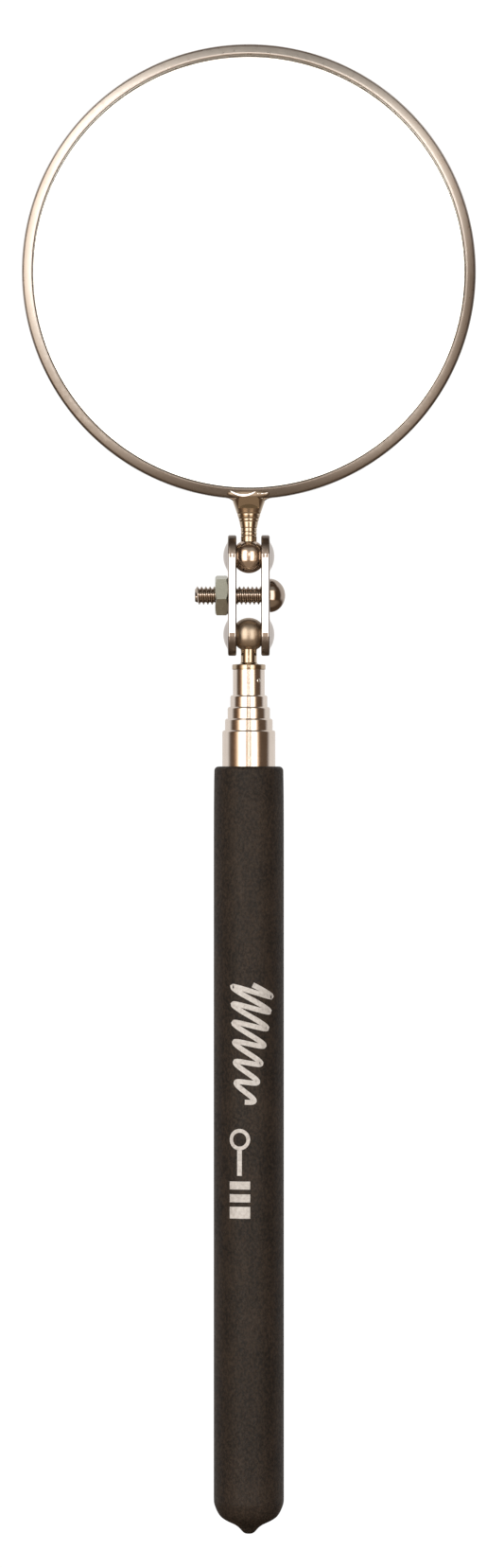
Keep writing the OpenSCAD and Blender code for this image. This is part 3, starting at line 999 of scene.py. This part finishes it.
def make_round(name, node, edge, material, back_off=0.0, segments=192):
    """A flat round piece in the case, with its edge taken off and its front set back a hair."""
    lo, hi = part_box(node)
    radius = (hi.x - lo.x) / 2
    front, back = -lo.y - back_off, -hi.y
    bm = turned([(0, back), (radius - edge, back), (radius, back + edge),
                 (radius, front - edge), (radius - edge, front), (0, front)],
                segments=segments)
    move(bm, to_mirror())
    return finish_mesh(bm, name, "mirror_head", material, [node])


make_round("round_glass", "mirror_glass", 0.25 * MM, glass_material)
make_round("silvering", "silver_layer", 0.02 * MM, silver_material, 0.01 * MM)
make_round("board_pad", "backing_pad", 0.1 * MM, board_material)


# ---------------------------------------------------------------- pieces kept from the CAD

def dress(node, material):
    """Give a CAD piece one of the materials above."""
    slots = frame["nodes"][node].data.materials
    slots.clear()
    slots.append(material)


dress("base_plug", brass)
for number in TUBES[1:]:
    dress(f"stop_collar_{number}", brass)
    dress(f"friction_sleeve_{number}", spring_bronze)


# ---------------------------------------------------------------- floor, light and camera

def make_floor():
    """A round pale floor well below the grip, left out of the reflections."""
    radius, drop = 0.75, 0.25
    bm = bmesh.new()
    bmesh.ops.create_circle(bm, cap_ends=True, segments=SEGMENTS, radius=radius)
    move(bm, Matrix.Translation((0, 0, -drop)))
    mesh = bpy.data.meshes.new("floor")
    bm.to_mesh(mesh)
    bm.free()
    floor = bpy.data.objects.new("floor", mesh)
    bpy.context.scene.collection.objects.link(floor)
    n = Nodes("pale_floor")
    cloud = n.noise(n.coords, 6, 2)
    n.set(Base_Color=n.blend(cloud, rgb(0.95, 0.95, 0.94), rgb(0.98, 0.98, 0.97)),
          Roughness=0.8)
    mesh.materials.append(n.material)
    floor.visible_glossy = False


make_floor()


def make_world():
    """A white backdrop for the camera, and a dim warm room with soft lights for the metal.

    turn is the angle to the right and rise the angle up, in degrees, from straight in front."""
    world = bpy.data.worlds.new("studio")
    bpy.context.scene.world = world
    world.use_nodes = True
    tree = world.node_tree
    tree.nodes.clear()

    def add(kind, inputs=None, **settings):
        return add_node(tree, kind, inputs, **settings)

    def calc(operation, a, b=0.0):
        """One sum on two values."""
        return add("ShaderNodeMath", {0: a, 1: b}, operation=operation).outputs[0]

    def times(a, b):
        return calc("MULTIPLY", a, b)

    def step(value, low, high):
        """Nought at low, one at high, and a smooth rise between."""
        return add("ShaderNodeMapRange", {"Value": value, "From Min": low, "From Max": high},
                   interpolation_type="SMOOTHSTEP").outputs["Result"]

    def band(value, low, high, soft):
        """One inside low to high, falling to nought over a soft edge outside it."""
        return times(step(value, low - soft, low), step(value, high + soft, high))

    def span(value, low, low_soft, high, high_soft):
        """A band with its own soft edge at each side."""
        return times(step(value, low - low_soft, low), step(value, high + high_soft, high))

    direction = add("ShaderNodeTexCoord").outputs["Generated"]
    split = add("ShaderNodeSeparateXYZ", {"Vector": direction})
    x, y, z = (split.outputs[a] for a in "XYZ")
    turn = times(calc("ARCTAN2", x, times(y, -1.0)), 180 / math.pi)
    rise = times(calc("ARCSINE", z), 180 / math.pi)
    away = calc("ABSOLUTE", turn)

    plain = (1.0, 1.0, 1.0)
    warm_edge = (2.4, 2.9, 3.5)  # blue dies first and red last, so the light's edges are warm
    left = times(span(turn, -30, 52, -16, 5), band(rise, -24, 34, 16))
    right = times(span(turn, 13, 5, 27, 32), band(rise, -26, 28, 12))
    between_them = times(band(turn, -12, 8, 6), band(rise, -20, 24, 14))
    behind = times(step(away, 84, 108), band(rise, -8, 50, 16))
    seen_in_glass = times(band(turn, -2.4, 2.4, 0.6), band(rise, 2.12, 6.5, 0.05))
    seen_in_plates = times(band(turn, -9, 9, 3), band(rise, 0.96, 1.7, 0.05))
    seen_in_thread = times(band(turn, -2.2, 2.2, 1), band(rise, 9, 21, 2))
    overhead = times(band(rise, 32, 52, 14), step(away, 70, 30))
    from_floor = times(span(rise, -80, 10, -38, 16), step(away, 120, 60))
    lights = (
        (left, warm_edge, (1.0, 0.97, 0.93), 3.0),
        (right, warm_edge, (1.0, 0.97, 0.93), 2.7),
        (between_them, plain, (1.0, 0.77, 0.59), 0.6),
        (behind, plain, (1.0, 0.99, 0.98), 0.72),
        (seen_in_glass, plain, (1, 1, 1), 1.4),
        (seen_in_plates, plain, (1, 0.98, 0.97), 3.2),
        (seen_in_thread, plain, (1, 0.97, 0.94), 3.4),
        (overhead, plain, (0.97, 1.0, 0.95), 0.32),
        (from_floor, plain, (1.0, 0.8, 0.6), 0.25))

    room = add("ShaderNodeRGB")
    room.outputs[0].default_value = rgb(0.115, 0.075, 0.05)
    total = room.outputs[0]
    for share, fade, tint, power in lights:
        faded = add("ShaderNodeCombineXYZ", {
            axis: times(calc("POWER", share, f), t)
            for axis, f, t in zip("XYZ", fade, tint)}).outputs["Vector"]
        scaled = add("ShaderNodeVectorMath", {0: faded, "Scale": power}, operation="SCALE")
        total = add("ShaderNodeMix", {
            MIX_SHARE: 1.0, MIX_A: total, MIX_B: scaled.outputs["Vector"]},
            data_type="RGBA", blend_type="ADD").outputs[MIX_RESULT]

    lit = add("ShaderNodeBackground", {"Color": total, "Strength": 1.0})
    white = add("ShaderNodeBackground", {"Color": rgb(1, 1, 1), "Strength": 1.05})
    seen = add("ShaderNodeLightPath").outputs["Is Camera Ray"]
    mixed = add("ShaderNodeMixShader", {0: seen, 1: lit.outputs[0], 2: white.outputs[0]})
    out = add("ShaderNodeOutputWorld")
    tree.links.new(mixed.outputs[0], out.inputs["Surface"])


make_world()


def make_camera():
    """A camera straight in front of the mirror, far enough back to see it nearly square on."""
    data = bpy.data.cameras.new("camera")
    camera = bpy.data.objects.new("camera", data)
    bpy.context.scene.collection.objects.link(camera)
    distance, view_height = 1.5, 0.2949
    aim_x, aim_z = 0.0006, 0.0659
    data.lens = data.sensor_width * distance / view_height
    camera.location = (aim_x, -distance, aim_z)
    camera.rotation_euler = (math.pi / 2, 0, 0)
    bpy.context.scene.camera = camera


make_camera()
bpy.context.scene.view_settings.view_transform = "Standard"
